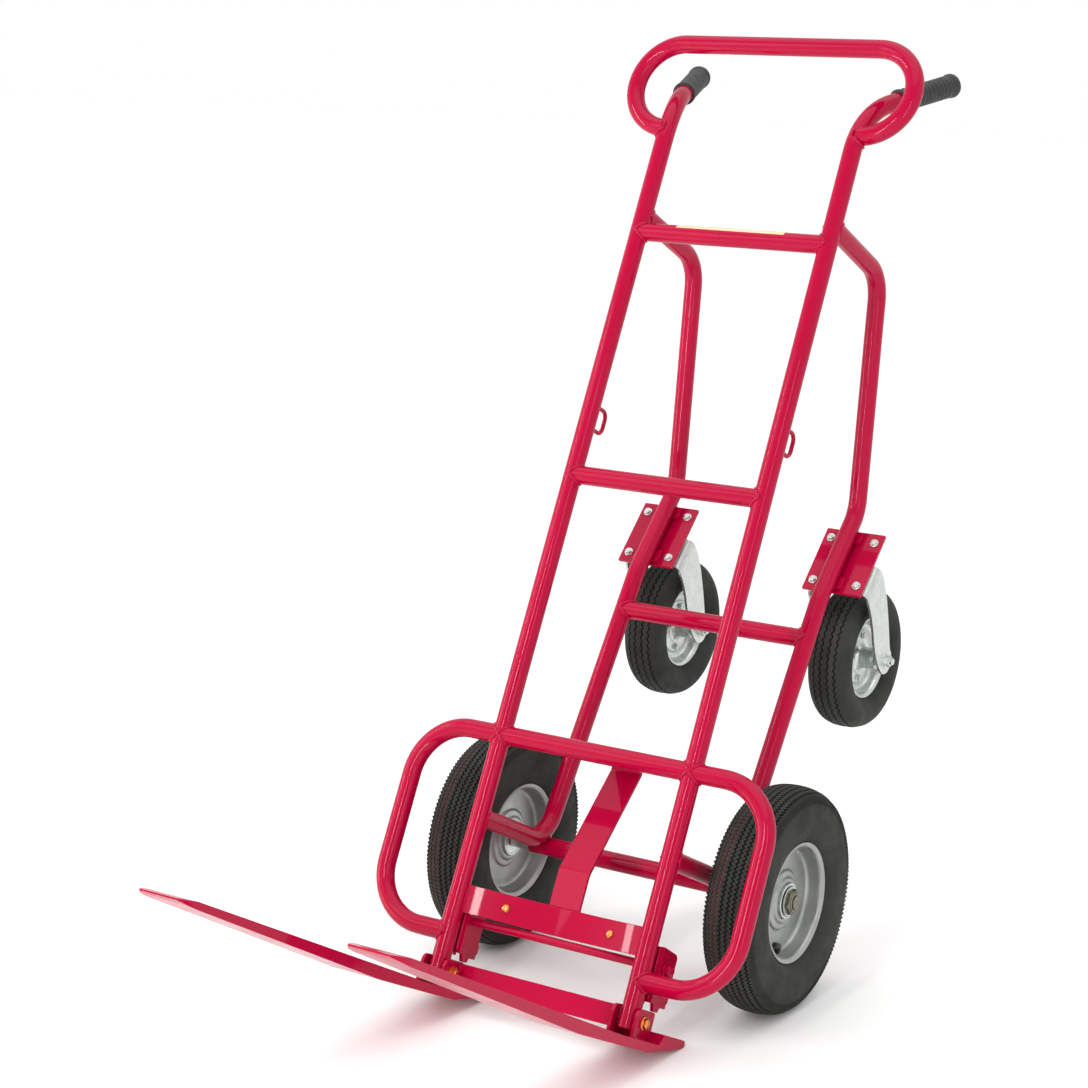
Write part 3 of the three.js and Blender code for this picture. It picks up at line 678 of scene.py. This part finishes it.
MAIN_TYRE = dict(
    half=[(36, 108.2), (41, 113), (46.5, 124), (49.6, 140), (50, 157), (48.4, 174), (45, 186.5),
          (37.5, 195.2), (25, 200.2), (12, 202.4), (0, 203)],
    bead_line=[(-34.5, 106.8), (-31, 102.6), (0, 101.9), (31, 102.6), (34.5, 106.8)],
    grooves=[-39, -28, -17, -6, 6, 17, 28, 39], width=4.2, depth=5.4, teeth=150, swing=2.5,
    shoulder=9, wave=(1, -1), bite=3.2, line_grooves=(17, 28))
CASTER_TYRE = dict(
    half=[(25.2, 77.6), (30, 81), (37, 89), (41.4, 100), (42, 111), (38.6, 121.5), (31, 129.5),
          (19, 134.4), (8, 135.8), (0, 136)],
    bead_line=[(-23.6, 76.4), (-20.5, 71.6), (0, 71), (20.5, 71.6), (23.6, 76.4)],
    grooves=[-21, -7.5, 7.5, 21], width=3.0, depth=4.2, teeth=62, swing=1.7,
    shoulder=5, wave=(0.0, 0.85, 1.0, 0.0, -0.85, -1.0), bite=0.0)

RIM_FACE = [(35.4, 107.2), (37.2, 108.0), (38.4, 107.2), (38.5, 105.2), (37.2, 103.2), (35.4, 100.4),
            (31, 98.2), (20, 96.6), (12, 95.2), (8.0, 92.6), (6.6, 88), (6.2, 80), (6.0, 70), (6.0, 60),
            (6.4, 56.0), (8.2, 53.6), (10.6, 52.0), (11.6, 49.2), (11.8, 45), (12.6, 42.2), (14.8, 40.6),
            (16.4, 38.8), (17.0, 36.4), (16.8, 33.0)]
RIM_BED = [(-34.2, 104.8), (-31.5, 101.2), (31.5, 101.2), (34.2, 104.8)]
HUB_FACE = [(12, 32.2), (19.8, 32.2), (21.4, 31.4), (22.0, 29.8), (21.6, 28.2), (20.2, 27.2), (19.6, 25),
            (19.8, 20), (20.4, 14), (20.2, 10.3)]
VALVE_PATH = [(9, 6, -93), (20, 8, -90), (27, -6, -80), (27, -24, -82)]


def mirrored(face):
    return face + [(-x, r) for x, r in reversed(face)]


def pressed(face):
    return mirrored([tuple(p) for p in smooth_profile(face, 3)])


for side, sign in SIDES:
    wheel = Matrix.Translation(AXLE + Vector((sign * WHEEL_MID, 0, 0)))
    body = f"{side}_main_wheel"
    build_tyre(f"{side}_pneumatic_tyre", body, f"{side}_tyre", wheel, MAIN_TYRE)
    rim = Shape(wheel)
    lathe(rim, pressed(RIM_FACE) + RIM_BED, 128, closed=True)
    rim.build(f"{side}_pressed_rim", SILVER, body, [f"{side}_rim"], "rim_paint", 50)
    hub = Shape(wheel)
    lathe(hub, mirrored(HUB_FACE), 72, closed=True)
    hub.build(f"{side}_bearing_hub", ZINC, body, [f"{side}_hub"], "zinc", 40)
    stem = Shape(wheel)
    run = bent_run([(sign * x, y, z) for x, y, z in VALVE_PATH], [7, 9], 12)
    rings = sections(run, circle(1, 20))
    sizes = np.interp(np.linspace(0, 1, len(run)), [0, 0.2, 0.5, 1], [6.6, 5.2, 4.8, 4.6])
    stem.add(*skin([[p + (v - p) * size for v in ring]
                    for ring, (p, t), size in zip(rings, run, sizes)]))
    tip, way = run[-1]
    cap = facing(way, tip - way * 9)
    lathe(stem, [(0, 0.01), (0, 5.0), (0.8, 5.4), (10.2, 5.4), (11.4, 4.6), (11.4, 0.01)], 20, cap)
    for k in range(10):
        box(stem, 1.2, 9.6, 5.2, 5.7, -0.5, 0.5, cap @ Matrix.Rotation(2 * math.pi * k / 10, 4, "X"))
    stem.build(f"{side}_valve", STEM, body, [f"{side}_valve_stem"], "grip_rubber", 40)

# ------------------------------------------------------------------ lower plate and strap
PLATE_HALF, SAG = 178, 34
PLATE_LOW, PLATE_HIGH, PLATE_THICK = 36, 86, 6
RIVET_X, RIVET_Z = 107, 61
bow = (PLATE_HALF ** 2 + SAG ** 2) / (2 * SAG)      # radius of the plate's curve


def plate_y(x):
    return SAG - bow + math.sqrt(bow ** 2 - x ** 2)


plate = Shape()
rings = []
for x in np.linspace(-180.5, 180.5, 49):
    front = plate_y(x)
    back = front + PLATE_THICK
    rings.append([Vector((x, front, PLATE_LOW)), Vector((x, back, PLATE_LOW)),
                  Vector((x, back, PLATE_HIGH)), Vector((x, front, PLATE_HIGH))])
plate.add(*skin(rings))
plate.build("bowed_lower_plate", RED, "frame", ["curved_lower_plate"], bevel=1.0)
for side, sign in SIDES:
    turn = math.asin(RIVET_X / bow) * sign
    out = Vector((-math.sin(turn), -math.cos(turn), 0))
    at = Vector((sign * RIVET_X, plate_y(RIVET_X), RIVET_Z))
    head = Shape(facing(out, at))
    dome = [(0, 0.01), (0, 7.6), (1.2, 7.6), (2.8, 6.8), (4.4, 5.0), (5.2, 2.8), (5.4, 0.01)]
    lathe(head, dome, 36)
    head.build(f"{side}_plate_rivet", GOLD, "frame", [f"{side}_plate_bolt"], "yellow_zinc")
    tail = Shape(facing(-out, at - out * (PLATE_THICK + 0.1)))
    nut_end(tail, Matrix.Identity(4), 7.6, 5.6, 4.6, 2.4)
    tail.build(f"{side}_plate_nut", GOLD, "frame", slot="yellow_zinc")
    for depth in (-0.9, 6.3):
        x, y = sign * (W - 16.2), plate_y(PLATE_HALF) + depth
        straight_bead(welds, (x, y, PLATE_LOW + 4), (x, y, PLATE_HIGH - 4), 2.2)

strap = Shape()
rings = []
for p, t in bent_run([(0, 37, 86), (0, 37, 152), (0, 133, 365), (0, 11, 365)], [30, 12], 8):
    n = Vector((0, -t.z, t.y))
    rings.append([p + Vector((x, 0, 0)) + n * k for x, k in ((-31, 3), (31, 3), (31, -3), (-31, -3))])
strap.add(*skin(rings))
strap.build("centre_strap_plate", RED, "frame", ["centre_strap"], bevel=1.0)
for y, z, size in ((15.4, 369, 2.4), (16.4, 360, 2.0), (40.4, 87, 2.4)):
    straight_bead(welds, (-30, y, z), (30, y, z), size)

EYE_TOP, EYE_BOTTOM = 991, 948
for side, sign in SIDES:
    eye = Shape()
    x = sign * W
    run = bent_run([(x, 10, EYE_TOP), (x, 57, EYE_TOP), (x, 57, EYE_BOTTOM), (x, 10, EYE_BOTTOM)],
                   [14, 14], 8)
    tube(eye, run, 4.0, 20)
    eye.build(f"{side}_strap_eye_wire", RED, "frame", [f"{side}_strap_eye"])
    for z in (EYE_TOP, EYE_BOTTOM):
        bead(welds, cope((x, 40, z), (0, -1, 0), (x, 0, z), (0, 0, 1), 4.2, R, 24), 1.6)

# ------------------------------------------------------------------ hinge brackets and their rod
FLANGE = [(16.5, 62), (66, 56), (72, 50), (72, -10), (76, -12), (76, -27), (72, -29), (72, -38),
          (52, -38), (48, -47), (32, -47), (26, -34), (16.5, -34)]
ROD_END = 219.3
for side, sign in SIDES:
    bracket = Shape(Matrix.Translation((sign * W, 0, 0)))
    for x0 in (-23.3, 17.3):
        prism(bracket, rounded(FLANGE, 2.5, 3, True), x0, x0 + 6, holes=[ring_of(ROD.y, ROD.z, 7.9)])
    box(bracket, -17.4, 17.4, 16.8, 21.3, -34, 61)
    bracket.build(f"{side}_hinge_bracket_plates", RED, "frame", [f"{side}_hinge_bracket"], bevel=0.9)
    for edge in (-1, 1):
        x = sign * W + edge * 15.6
        straight_bead(welds, (x, 15.6, -30), (x, 15.6, 58), 2.4)
rod = Shape(Matrix.Translation(ROD))
lathe(rod, [(-ROD_END, 0.01), (-ROD_END, 7.5), (ROD_END, 7.5), (ROD_END, 0.01)], 32)
for sign in (-1, 1):
    end = facing((sign, 0, 0), (sign * (ROD_END - 0.2), 0, 0))
    lathe(rod, [(0, 0.01), (0, 13.4), (1.4, 13.6), (2.2, 12.8), (2.2, 0.01)], 36, end)
    hexagon(rod, 2.1, 9, 12.2, end)
    lathe(rod, [(0, 0.01), (0, 6.6), (12.6, 6.6), (13.9, 5.4), (13.9, 0.01)], 28, end)
rod.build("bracket_cross_rod", RED, "frame", ["bracket_rod"])

# ------------------------------------------------------------------ forks
# stations of a blade: y, half width, top z, bottom z
BLADE = [(-811, 36, -78.8, -81.2), (-808, 39, -78.2, -82.2), (-793, 47, -76.6, -84.8),
         (-775, 50, -75, -87), (-770, 50, -75.2, -87.4), (-245, 50, -93.1, -115),
         (-100, 50, -98, -115), (0, 50, -98, -114.6), (32, 50, -98, -108.5), (44, 50, -79, -106.4),
         (114, 50, -79, -94), (122, 50, -79.4, -90.6), (127, 49, -85, -88.6)]
EAR_THICK, EAR_INNER = 6, 20


def ear_outline():
    front, rear, top, r = -22, 38, -48, 15
    corner = [(front + r - r * math.cos(a), top - r + r * math.sin(a))
              for a in np.linspace(0, math.pi / 2, 9)]
    return [(front, -99), *corner, (rear - 4, top), (rear, top - 4), (rear, -97)]


fork_welds = Shape()
for side, sign in SIDES:
    fork = Shape(Matrix.Translation((sign * W, 0, 0)))
    rings = [[Vector((-h, y, t)), Vector((h, y, t)), Vector((h, y, b)), Vector((-h, y, b))]
             for y, h, t, b in BLADE]
    fork.add(*skin(rings))
    for ear in (-1, 1):
        inner, outer = ear * EAR_INNER, ear * (EAR_INNER + EAR_THICK)
        prism(fork, rounded(ear_outline(), 1.5, 2, True), min(inner, outer), max(inner, outer),
              holes=[ring_of(PIVOT.y, PIVOT.z, 6.4)])
        x = sign * W + outer + ear * 0.4
        straight_bead(fork_welds, (x, -20, -97.4), (x, 30, -97.4), 2.2)
    fork.build(f"{side}_fork_blade", RED, "forks", [f"{side}_fork"], bevel=1.3, segments=3)
    bolt = Shape(Matrix.Translation((sign * W, PIVOT.y, PIVOT.z)))
    lathe(bolt, [(-26, 0.01), (-26, 6), (26, 6), (26, 0.01)], 28)
    bolt_head(bolt, facing((sign, 0, 0), (sign * 26.3, 0, 0)), 9.4, 5.6)
    nut_end(bolt, facing((-sign, 0, 0), (-sign * 26.3, 0, 0)), 9.4, 7, 5.8, 2.2)
    bolt.build(f"{side}_hinge_pin", GOLD, "frame", [f"{side}_hinge_bolt"], "yellow_zinc")
cross = Shape()
box(cross, -169.4, 169.4, 28, 36, -88, -50)
cross.build("fork_tie_plate", RED, "forks", ["fork_cross_plate"], bevel=1.2)
for sign in (-1, 1):
    for y in (27.2, 36.8):
        straight_bead(fork_welds, (sign * 168.6, y, -86), (sign * 168.6, y, -52), 2.0)

# ------------------------------------------------------------------ grips
for side, sign in SIDES:
    way = handle_dir(sign)
    mouth = Vector((sign * W, 0, HANDLE_BEND)) + way * 94
    profile = [(6, 0.01), (6, 17.2), (0, 17.3), (0, 21.4), (1.2, 22.2), (5.5, 22.2), (7.5, 20.6)]
    for k in range(11):
        x = 16 + 10.4 * k
        profile += [(x, 20.2), (x + 1.6, 21.0), (x + 5.4, 21.0), (x + 7.0, 20.2), (x + 8.6, 19.4)]
    profile += [(133, 19.6), (137, 21.0), (139, 22.4), (145, 22.4), (148.4, 21.2), (150, 17.5),
                (149.2, 6), (149, 0.01)]
    grip = Shape(facing(way, mouth))
    lathe(grip, profile, 48)
    grip.build(f"{side}_ribbed_grip", GRIP, "frame", [f"{side}_grip"], "grip_rubber", 40)

# ------------------------------------------------------------------ casters
# Casters are drawn about the middle of the mounting plate: X right, Y up the plate, Z out of it
# towards the frame.
CASTER_MID = Vector((200, 366, 849))
TILT = math.radians(19.2)
DROP, TRAIL = 188, 87           # wheel's axle below the plate, and towards its lower edge
HUB = Vector((0, -TRAIL, -DROP))
LEG_OUT = 63.0                  # outer faces of the caster legs
CROWN_TOP = -21.5
BOSS_R = 26.0                   # round end of a leg, at the axle
PLATE_BOLTS = ((1, 1), (-1, 1), (1, -1), (-1, -1))
# prism draws in YZ along X. FLAT turns its X to Z, Y to X and Z to Y; ACROSS swaps its X and Y.
FLAT = Matrix(((0, 1, 0, 0), (0, 0, 1, 0), (1, 0, 0, 0), (0, 0, 0, 1)))
ACROSS = Matrix(((0, 1, 0, 0), (1, 0, 0, 0), (0, 0, 1, 0), (0, 0, 0, 1)))
CASTER_FACE = [(24, 76.4), (25.8, 77.4), (27, 76.8), (27.2, 75), (26, 73), (24.4, 70.6), (20, 68.2),
               (12, 66.4), (7.6, 64.4), (5.6, 61), (5.2, 56), (6.2, 52.6), (9.2, 50.6), (10.4, 47),
               (10.6, 36), (9.4, 31), (9.2, 27.6), (10.6, 25.4), (14, 22.6), (20, 20.4),
               (43.4, 19.4), (44.2, 18.4), (44.2, 8.4)]
CASTER_BED = [(-22.5, 74), (-21, 70.6), (21, 70.6), (22.5, 74)]
RACE = [(0, 0.01), (0, 36), (2.5, 39), (4.6, 40), (5.2, 38.4), (6.0, 38.4), (6.6, 40.4), (9.6, 39.6),
        (10.6, 37), (10.6, 0.01)]


def leg_rows():
    """Stations down a caster leg, as (z, edge towards the plate's top, opposite edge)."""
    rows = [(-21, 13, -53), (-30, 13.5, -56), (-40, 12.5, -60), (-52, 10.5, -63), (-64, 7.5, -66.5),
            (-80, 1, -73), (-98, -7, -82), (-116, -17, -92.5), (-135, -28, -102), (-152, -38.5, -108),
            (-168, -49, -111.5), (-180, -57, -112.8)]
    for k in range(11):
        a = math.radians(9 * k)
        half = max(BOSS_R * math.cos(a), 0.8)
        rows.append((-DROP - BOSS_R * math.sin(a), half - TRAIL, -half - TRAIL))
    return rows


def yoke(shape):
    """The pressed fork of a caster: a crown that bends down into two tapering legs."""
    thick, bend = 5.0, 16.0
    zs, front, back = (np.array(c) for c in zip(*leg_rows()))
    left = [(-LEG_OUT, z, -1, 0) for z in reversed(zs) if z < CROWN_TOP - bend]
    for k in range(9):
        a = math.pi / 2 * k / 8
        left.append((-LEG_OUT + bend - bend * math.cos(a), CROWN_TOP - bend + bend * math.sin(a),
                     -math.cos(a), math.sin(a)))
    left += [(x, CROWN_TOP, 0, 1) for x in (-40, -32, -24, -16, -8)]
    path = left + [(0, CROWN_TOP, 0, 1)] + [(-x, z, -nx, nz) for x, z, nx, nz in reversed(left)]
    rings = []
    for x, z, nx, nz in path:
        swell = max(0.0, 1 - (x / (LEG_OUT - bend)) ** 2) if nz == 1 else 0.0
        f = np.interp(-z, -zs, front) + 26 * swell
        b = np.interp(-z, -zs, back) + 6 * swell
        ix, iz = x - nx * thick, z - nz * thick
        rings.append([Vector((x, f, z)), Vector((x, b, z)), Vector((ix, b, iz)), Vector((ix, f, iz))])
    return shape.add(*skin(rings))


for side, sign in SIDES:
    at = Vector((sign * CASTER_MID.x, *CASTER_MID.yz))
    place = Matrix.Translation(at) @ Matrix.Rotation(math.pi / 2 - TILT, 4, "X")
    offset = sign * (W - CASTER_MID.x)          # the rear tube, from the middle of the plate
    mount = Shape(place)
    outline = rounded([(-70, -60), (-70, 60), (70, 60), (70, -60)], 1.5, 3, True)
    prism(mount, [(b, a) for a, b in outline], -6, 0, FLAT)
    saddle = [(-25, -0.5), (-25, 9), (-12.2, 9)]
    saddle += [(17 * math.sin(a), 21 - 17 * math.cos(a)) for a in np.linspace(-0.78, 0.78, 13)]
    saddle += [(12.2, 9), (25, 9), (25, -0.5)]
    for y0, y1 in ((40, 64), (-64, -40)):
        prism(mount, [(x + offset, z) for x, z in saddle], y0, y1, ACROSS)
    mount.build(f"{side}_caster_mount_plate", RED, "frame", [f"{side}_caster_mount"], bevel=0.9)
    for y in (64.6, 39.4, -39.4, -64.6):
        arc_pts = [place @ Vector((offset + 17.4 * math.sin(a), y, 21 - 17.4 * math.cos(a)))
                   for a in np.linspace(-0.9, 0.9, 9)]
        bead(welds, arc_pts, 2.0, closed=False)

    top = Shape(place)
    outline = rounded([(-66, -57), (-66, 57), (66, 57), (66, -57)], 9, 5, True)
    prism(top, [(b, a) for a, b in outline], -11.3, -6.3, FLAT)
    top.build(f"{side}_caster_plate", ZINC, "frame", [f"{side}_caster_top_plate"], "zinc", bevel=1.0)
    for n, (i, j) in enumerate(PLATE_BOLTS, 1):
        bolt = Shape(place @ Matrix.Translation((i * 44.3, j * 49, 0)))
        bolt_head(bolt, facing((0, 0, 1), (0, 0, 0.2)), 6.6, 4.4)
        nut_end(bolt, facing((0, 0, -1), (0, 0, -11.4)), 6.6, 5.2, 4.0, 1.0)
        bolt.build(f"{side}_plate_bolt_{n}", ZINC, "frame", [f"{side}_caster_bolt_{n}"], "zinc")

    swivel = Shape(place)
    down = facing((0, 0, -1), (0, 0, -11.6))
    lathe(swivel, RACE, 64, down)
    yoke(swivel)
    hexagon(swivel, 14.5, 8, 12, down)
    lathe(swivel, [(10, 0.01), (10, 18), (15, 17), (15.6, 16), (15.6, 0.01)], 40, down)
    for x in (-1, 1):
        lathe(swivel, [(0, 0.01), (0, 15), (0.9, 14.6), (1.1, 13.6), (1.1, 0.01)], 36,
              facing((x, 0, 0), (x * (LEG_OUT - 0.1), -TRAIL, -DROP)))
    swivel.build(f"{side}_caster_yoke", ZINC, f"{side}_swivel", [f"{side}_caster_fork"], "zinc",
                 bevel=0.9)

    wheel = place @ Matrix.Translation(HUB)
    axle = Shape(wheel)
    lathe(axle, [(-LEG_OUT, 0.01), (-LEG_OUT, 7.9), (LEG_OUT, 7.9), (LEG_OUT, 0.01)], 28)
    for x0, x1 in ((-57.8, -44.6), (44.6, 57.8)):
        sleeve(axle, x0, x1, 7.8, 12.5)
    nut_end(axle, facing((1, 0, 0), (LEG_OUT + 1, 0, 0)), 11.0, 8.4, 6.6, 5.2)
    bolt_head(axle, facing((-1, 0, 0), (-LEG_OUT - 1, 0, 0)), 11.0, 7)
    axle.build(f"{side}_caster_axle_bolt", ZINC, f"{side}_swivel", [f"{side}_caster_axle"], "zinc")

    body = f"{side}_caster_wheel"
    build_tyre(f"{side}_caster_pneumatic_tyre", body, f"{side}_caster_tyre", wheel, CASTER_TYRE)
    rim = Shape(wheel)
    lathe(rim, pressed(CASTER_FACE) + CASTER_BED, 96, closed=True)
    for k in range(4):
        around = Matrix.Rotation(math.pi * (k / 2 + 0.2), 4, "X")
        for x in (-1, 1):
            at = around @ Matrix.Translation((x * 10.2, 0, 41)) @ facing((x, 0, 0), (0, 0, 0))
            (nut_end if x < 0 else bolt_head)(rim, at, 6.2, 4.6)
    rim.build(f"{side}_caster_pressed_rim", ZINC, body, [f"{side}_caster_rim"], "rim_paint", 45)

welds.build("frame_weld_beads", RED, "frame", sharp=60)
fork_welds.build("fork_weld_beads", RED, "forks", sharp=60)

# ------------------------------------------------------------------ floor, light and camera
floor_mat = material("pale_floor", (0.9, 0.9, 0.895), 0.0, 0.7, Specular_IOR_Level=0.1)
bpy.ops.mesh.primitive_plane_add(size=60, location=(0, 0, 0))
floor = bpy.context.object
floor.name = "pale_floor"
floor.data.materials.append(floor_mat)

world = bpy.data.worlds.new("studio")
bpy.context.scene.world = world
world.use_nodes = True
# a room that is white, with a dimmer upper wall in front of the truck
nodes, links = world.node_tree.nodes, world.node_tree.links
towards = nodes.new("ShaderNodeTexCoord")
split = nodes.new("ShaderNodeSeparateXYZ")
brighter = nodes.new("ShaderNodeMath")
brighter.operation = "MAXIMUM"
links.new(towards.outputs["Generated"], split.inputs[0])
for slot, (axis, start, end, at_start, at_end) in enumerate((("Y", -0.7, 0.25, 0.42, 1.0),
                                                             ("Z", 0.22, 0.45, 1.0, 0.42))):
    fade = nodes.new("ShaderNodeMapRange")
    for key, value in (("From Min", start), ("From Max", end), ("To Min", at_start), ("To Max", at_end)):
        fade.inputs[key].default_value = value
    links.new(split.outputs[axis], fade.inputs["Value"])
    links.new(fade.outputs["Result"], brighter.inputs[slot])
links.new(brighter.outputs[0], nodes["Background"].inputs["Strength"])
nodes["Background"].inputs["Color"].default_value = (1, 1, 1, 1)


def softbox(name, at, target, size, power, colour=(1, 1, 1)):
    data = bpy.data.lights.new(name, "AREA")
    data.shape, data.size, data.size_y = "RECTANGLE", *size
    data.energy, data.color = power, colour
    lamp = bpy.data.objects.new(name, data)
    lamp.location = at
    lamp.rotation_euler = (Vector(target) - Vector(at)).to_track_quat("-Z", "Y").to_euler()
    bpy.context.scene.collection.objects.link(lamp)


softbox("key_light", (-2.6, -3.2, 3.4), (0, 0, 0.8), (1.2, 2.4), 18)
softbox("fill_light", (3.4, -2.4, 2.6), (0, 0, 0.8), (0.3, 2.8), 22)
softbox("strip_light", (0.4, -4.2, 2.2), (0, 0, 0.9), (0.26, 3.6), 100)
softbox("side_strip", (-3.6, -1.6, 2.0), (0, 0, 0.9), (0.26, 3.2), 50)
sky = bpy.data.lights.new("overhead_light", "SUN")
sky.energy, sky.angle = 1.1, 1.3
bpy.context.scene.collection.objects.link(bpy.data.objects.new("overhead_light", sky))
softbox("warm_kicker", (-1.7, -1.1, 0.12), (0, -0.35, 0.1), (0.9, 0.2), 5, (1.0, 0.42, 0.16))

# the camera, in the row frame: metres, and the turns about X, Y and Z in degrees
CAMERA_AT = (2.1745, -3.5057, 1.7330)
CAMERA_TURN = (77.801, -0.891, 32.832)
cam_data = bpy.data.cameras.new("camera")
cam_data.sensor_width = 36
cam_data.lens = 82.4
cam_data.clip_end = 100
cam = bpy.data.objects.new("camera", cam_data)
cam.location = CAMERA_AT
cam.rotation_euler = [math.radians(angle) for angle in CAMERA_TURN]
bpy.context.scene.collection.objects.link(cam)
bpy.context.scene.camera = cam
bpy.context.scene.view_settings.view_transform = "Standard"
